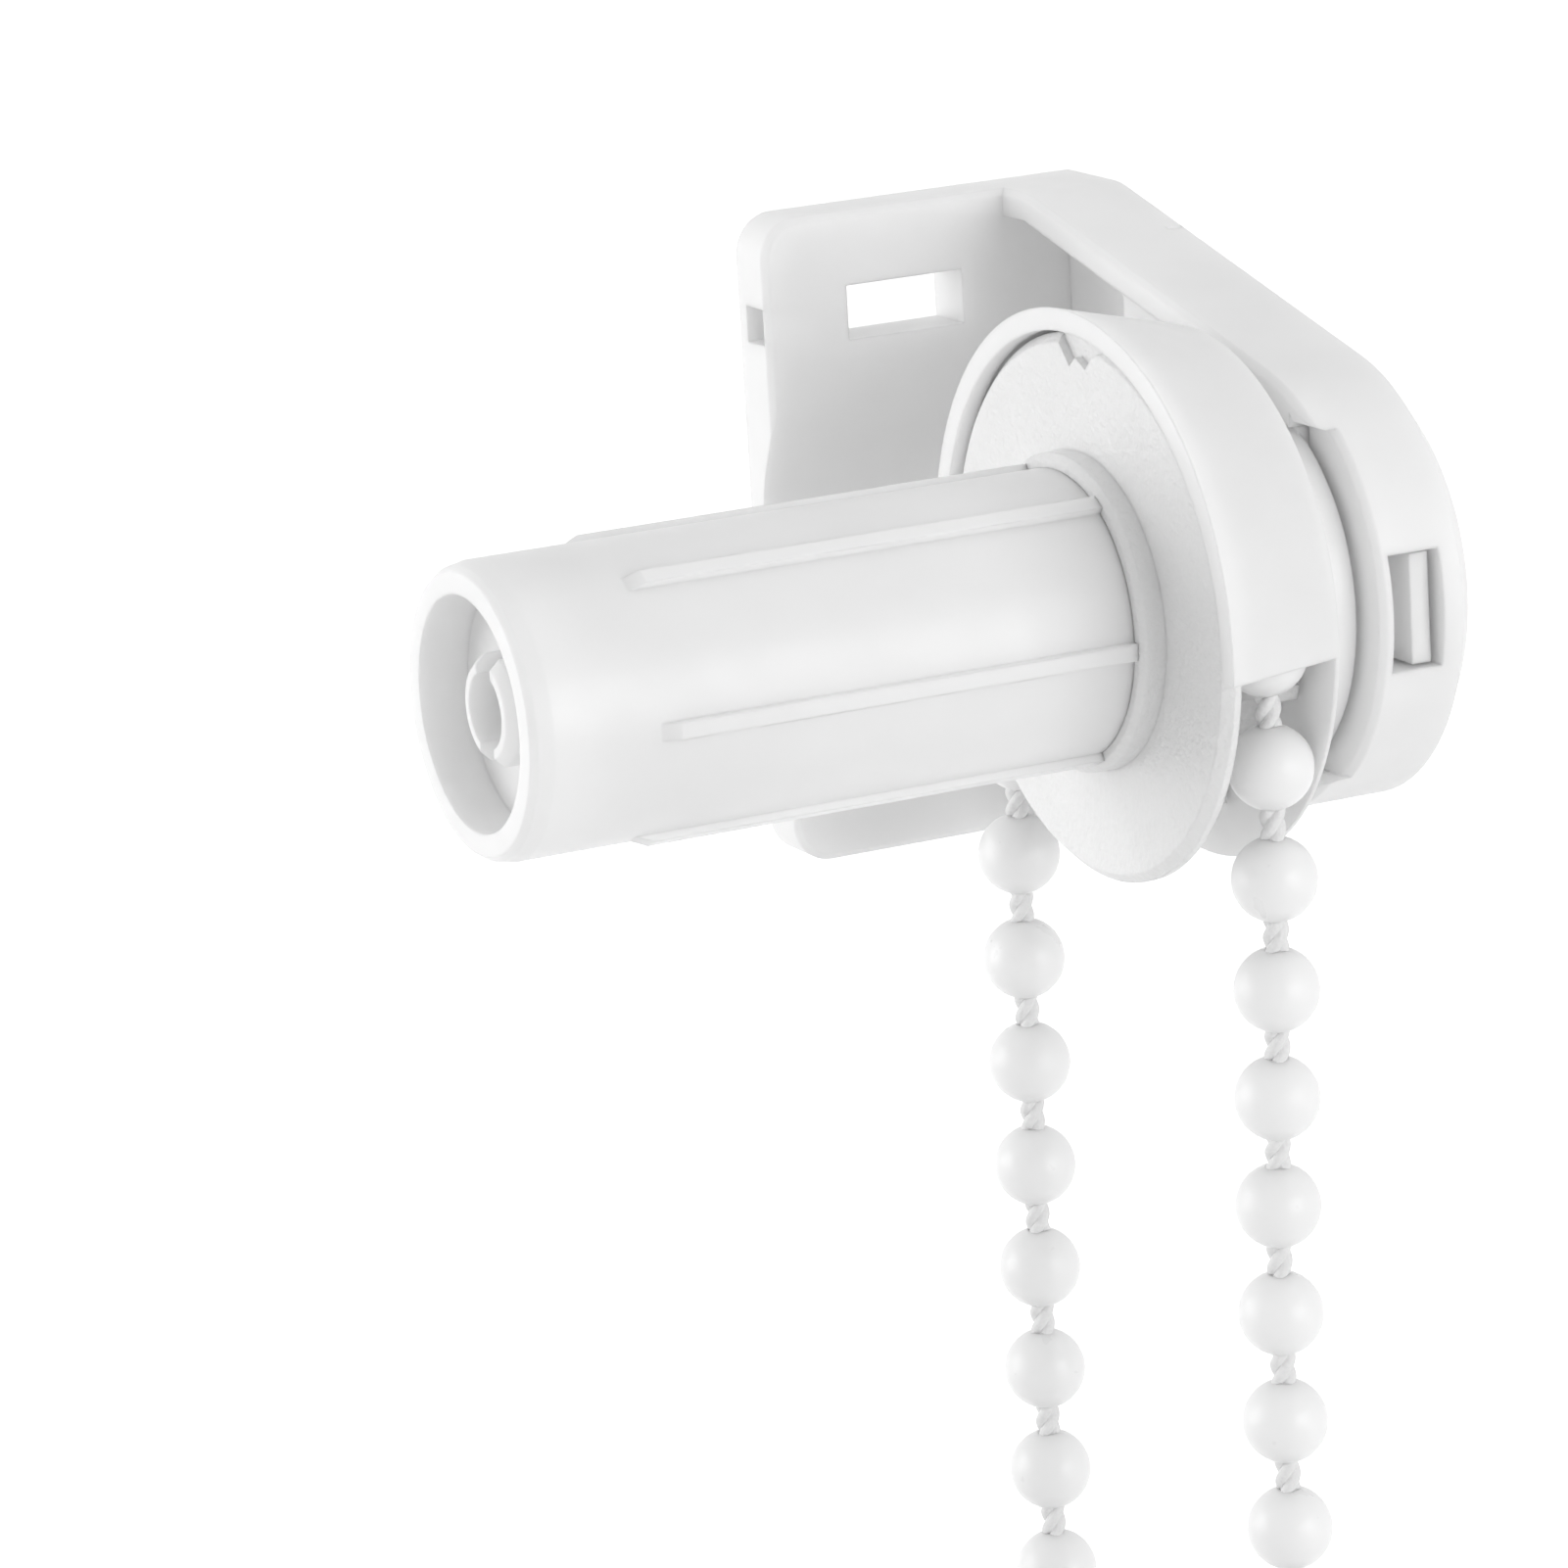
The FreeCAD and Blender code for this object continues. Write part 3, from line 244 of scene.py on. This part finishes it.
class Finish:
    """A material in the making, whose textures follow the place on the piece."""

    def __init__(self, slot):
        self.slot = slot
        self.material = bpy.data.materials.new(slot + "_finish")
        self.material.use_nodes = True
        self.nodes = self.material.node_tree.nodes
        self.links = self.material.node_tree.links
        self.shader = self.nodes["Principled BSDF"]
        self.place = self.nodes.new("ShaderNodeTexCoord").outputs["Object"]

    def constant(self, socket, value):
        self.shader.inputs[socket].default_value = value

    def texture(self, socket, output):
        self.links.new(output, self.shader.inputs[socket])

    def noise(self, size, detail):
        """Noise with spots of about that size in millimetres."""
        node = self.nodes.new("ShaderNodeTexNoise")
        node.inputs["Scale"].default_value = 1 / (size * MM)
        node.inputs["Detail"].default_value = detail
        self.links.new(self.place, node.inputs["Vector"])
        return node.outputs["Fac"]

    def bands(self, step):
        """Waves along X that are a step in millimetres apart."""
        node = self.nodes.new("ShaderNodeTexWave")
        node.inputs["Scale"].default_value = BAND_PERIOD / (step * MM)
        self.links.new(self.place, node.inputs["Vector"])
        return node.outputs["Fac"]

    def spread(self, value, low, high):
        """A noise value carried from its usual range to another one."""
        node = self.nodes.new("ShaderNodeMapRange")
        node.inputs["From Min"].default_value = NOISE_LOW
        node.inputs["From Max"].default_value = NOISE_HIGH
        node.inputs["To Min"].default_value = low
        node.inputs["To Max"].default_value = high
        self.links.new(value, node.inputs["Value"])
        return node.outputs["Result"]

    def white(self, value, whiteness):
        """The slot's colour as a neutral white, which low noise values dull to a share of it."""
        bright = sum(COLOURS[self.slot]) / 3
        dull = bright * whiteness
        node = self.nodes.new("ShaderNodeMix")
        node.data_type = "RGBA"
        node.inputs["A"].default_value = (dull, dull, dull, 1)
        node.inputs["B"].default_value = (bright, bright, bright, 1)
        self.links.new(self.spread(value, 0, 1), node.inputs["Factor"])
        return node.outputs["Result"]

    def rounded_edges(self, radius):
        """Shading of edges that are rounded to a radius in millimetres."""
        node = self.nodes.new("ShaderNodeBevel")
        node.samples = EDGE_SAMPLES
        node.inputs["Radius"].default_value = radius * MM
        return node.outputs["Normal"]

    def bump(self, height, depth, below=None):
        """Bump of a depth in millimetres, on top of another bump or of rounded edges."""
        node = self.nodes.new("ShaderNodeBump")
        node.inputs["Distance"].default_value = depth * MM
        self.links.new(height, node.inputs["Height"])
        if below:
            self.links.new(below, node.inputs["Normal"])
        return node.outputs["Normal"]


def moulded_plastic(slot, roughness, grain_size, grain_depth, wave_depth, glow, edge_radius):
    """White plastic: cloudy colour, uneven gloss, fine grain from the mould, sink waves and soft edges."""
    finish = Finish(slot)
    cloud = finish.noise(CLOUD_SIZE, detail=2)
    finish.texture("Base Color", finish.white(cloud, CLOUD_WHITENESS))
    gloss = finish.noise(GLOSS_SIZE, detail=3)
    finish.texture("Roughness", finish.spread(gloss, roughness - GLOSS_SWING, roughness + GLOSS_SWING))
    edges = finish.rounded_edges(edge_radius)
    waves = finish.bump(finish.noise(SINK_WAVE_SIZE, detail=1), wave_depth, edges)
    grain = finish.bump(finish.noise(grain_size, detail=2), grain_depth, waves)
    finish.texture("Normal", grain)
    finish.constant("IOR", PLASTIC_IOR)
    finish.constant("Subsurface Weight", glow)
    finish.constant("Subsurface Scale", GLOW_REACH * MM)
    finish.constant("Subsurface Radius", (1.0, 1.0, 1.0))
    return finish.material


def bracket_white():
    return moulded_plastic(
        "bracket_white",
        roughness=0.42,
        grain_size=0.35,
        grain_depth=0.004,
        wave_depth=0.02,
        glow=0.8,
        edge_radius=0.25,
    )


def clutch_white():
    return moulded_plastic(
        "clutch_white",
        roughness=0.36,
        grain_size=0.4,
        grain_depth=0.003,
        wave_depth=0.02,
        glow=0.8,
        edge_radius=0.2,
    )


def wheel_white():
    """The wheel's grain is deep, from a spark-eroded mould."""
    return moulded_plastic(
        "wheel_white",
        roughness=0.38,
        grain_size=0.4,
        grain_depth=0.12,
        wave_depth=0.01,
        glow=0.3,
        edge_radius=0.2,
    )


def bead_white():
    return moulded_plastic(
        "bead_white",
        roughness=0.33,
        grain_size=0.5,
        grain_depth=0.004,
        wave_depth=0.03,
        glow=0.5,
        edge_radius=0.1,
    )


def spring_steel():
    finish = Finish("spring_steel")
    finish.constant("Base Color", (*COLOURS["spring_steel"], 1))
    finish.constant("Metallic", 1.0)
    drawn = finish.noise(DRAWN_SIZE, detail=3)
    finish.texture("Roughness", finish.spread(drawn, *STEEL_ROUGHNESS))
    finish.texture("Normal", finish.bump(finish.bands(GROOVE_STEP), GROOVE_DEPTH))
    return finish.material


def cord_white():
    finish = Finish("cord_white")
    fibre = finish.noise(FIBRE_SIZE, detail=3)
    finish.texture("Base Color", finish.white(fibre, FIBRE_WHITENESS))
    finish.texture("Roughness", finish.spread(fibre, *FIBRE_ROUGHNESS))
    finish.texture("Normal", finish.bump(fibre, FIBRE_DEPTH))
    finish.constant("Sheen Weight", FIBRE_SHEEN)
    return finish.material


def make_materials():
    return {
        "bracket_white": bracket_white(),
        "clutch_white": clutch_white(),
        "wheel_white": wheel_white(),
        "bead_white": bead_white(),
        "spring_steel": spring_steel(),
        "cord_white": cord_white(),
    }


# Bead chain


def read_route():
    """Points along the smooth curve whose control points are the route's corners."""
    curve = bpy.data.curves.new("chain_route", "CURVE")
    curve.dimensions = "3D"
    curve.resolution_u = ROUTE_STEPS
    spline = curve.splines.new("NURBS")
    spline.points.add(len(CHAIN_ROUTE) - 1)
    for point, corner in zip(spline.points, CHAIN_ROUTE):
        point.co = (*(TUBE_AXIS + Vector(corner) * MM), 1)
    spline.order_u = ROUTE_ORDER
    spline.use_endpoint_u = True
    holder = bpy.data.objects.new("chain_route", curve)
    mesh = bpy.data.meshes.new_from_object(holder)
    line = [vertex.co.copy() for vertex in mesh.vertices]
    bpy.data.meshes.remove(mesh)
    bpy.data.objects.remove(holder)
    bpy.data.curves.remove(curve)
    return line


class Path:
    """A line of points that is read by the distance along it."""

    def __init__(self, points):
        self.points = points
        self.marks = [0.0]
        for here, there in zip(points, points[1:]):
            self.marks.append(self.marks[-1] + (there - here).length)
        self.length = self.marks[-1]

    def at(self, distance):
        """The point at a distance and the heading there."""
        index = max(i for i, mark in enumerate(self.marks[:-1]) if mark <= distance)
        here, there = self.points[index], self.points[index + 1]
        share = (distance - self.marks[index]) / (self.marks[index + 1] - self.marks[index])
        return here.lerp(there, share), (there - here).normalized()


def across_x(heading):
    """Two directions square to a heading and to each other; the route never runs along X."""
    side = (Vector((1, 0, 0)) - heading * heading.x).normalized()
    return side, heading.cross(side)


def add_ring(bm, middle, side, up, radius, sides):
    """Corners of a ring around a point, in the plane of the directions side and up."""
    ring = []
    for k in range(sides):
        angle = 2 * math.pi * k / sides
        around = side * math.cos(angle) + up * math.sin(angle)
        ring.append(bm.verts.new(middle + around * radius))
    return ring


def add_skin(bm, rings):
    """Walls from each ring to the next, and a cap on either end."""
    sides = len(rings[0])
    for low, high in zip(rings, rings[1:]):
        for k in range(sides):
            j = (k + 1) % sides
            bm.faces.new((low[k], low[j], high[j], high[k]))
    bm.faces.new(list(reversed(rings[0])))
    bm.faces.new(rings[-1])


def finish_mesh(bm, name):
    bmesh.ops.recalc_face_normals(bm, faces=bm.faces)
    mesh = bpy.data.meshes.new(name)
    bm.to_mesh(mesh)
    bm.free()
    mesh.shade_smooth()
    piece = bpy.data.objects.new(name, mesh)
    bpy.context.scene.collection.objects.link(piece)
    return piece


def make_cord(path):
    """Twisted strands along the whole route."""
    bm = bmesh.new()
    steps = round(path.length / (STRAND_STEP * MM))
    offset = (CORD_DIAMETER / 2 - STRAND_RADIUS) * MM
    for strand in range(STRANDS):
        rings = []
        for i in range(steps + 1):
            distance = path.length * i / steps
            middle, heading = path.at(distance)
            side, up = across_x(heading)
            turn = 2 * math.pi * (strand / STRANDS + distance / (STRAND_TURN_LENGTH * MM))
            out = side * math.cos(turn) + up * math.sin(turn)
            rings.append(add_ring(bm, middle + out * offset, side, up, STRAND_RADIUS * MM, STRAND_SIDES))
        add_skin(bm, rings)
    return finish_mesh(bm, "twisted_cord")


def bead_profile():
    """Radius and height from one end of a bead to the other, with a mouth and its lip at each end."""
    radius = BEAD_DIAMETER / 2
    mouth = CORD_DIAMETER / 2 * MOUTH_SHARE_OF_CORD
    tilts = [math.radians(-90 + 180 * i / BEAD_RINGS) for i in range(BEAD_RINGS + 1)]
    ball = [(radius * math.cos(tilt), radius * math.sin(tilt)) for tilt in tilts]
    ball = [(out, height) for out, height in ball if out > mouth + MOUTH_EDGE]
    reach = ball[-1][1]
    top = [(mouth + LIP_WIDTH, reach + LIP_HEIGHT), (mouth, reach - MOUTH_DEPTH)]
    bottom = [(out, -height) for out, height in reversed(top)]
    return bottom + ball + top


def make_beads(path):
    """Beads at even distances along the whole route."""
    bm = bmesh.new()
    profile = bead_profile()
    for index in range(BEAD_COUNT):
        middle, heading = path.at(path.length * index / BEAD_COUNT)
        side, up = across_x(heading)
        rings = []
        for radius, height in profile:
            rings.append(add_ring(bm, middle + heading * height * MM, side, up, radius * MM, BEAD_SIDES))
        add_skin(bm, rings)
    return finish_mesh(bm, "round_beads")


def make_chain(materials):
    path = Path(read_route())
    cord = make_cord(path)
    beads = make_beads(path)
    for piece, node, slot in ((cord, "chain_cord", "cord_white"), (beads, "chain_beads", "bead_white")):
        piece.data.materials.append(materials[slot])
        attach(piece, "base")
        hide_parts(node)


# Build


def dress_nodes(materials):
    for row in frame["record"]["subparts"]:
        node = NODES[row["node"]]
        node.data.materials.clear()
        node.data.materials.append(materials[row["material_slot"]])


bpy.context.scene.view_settings.view_transform = "Standard"
bpy.context.scene.cycles.max_bounces = LIGHT_BOUNCES
bpy.context.scene.cycles.diffuse_bounces = LIGHT_BOUNCES
make_camera()
for softbox in SOFTBOXES:
    make_softbox(*softbox)
make_world()
make_floor()
MATERIALS = make_materials()
make_chain(MATERIALS)
dress_nodes(MATERIALS)
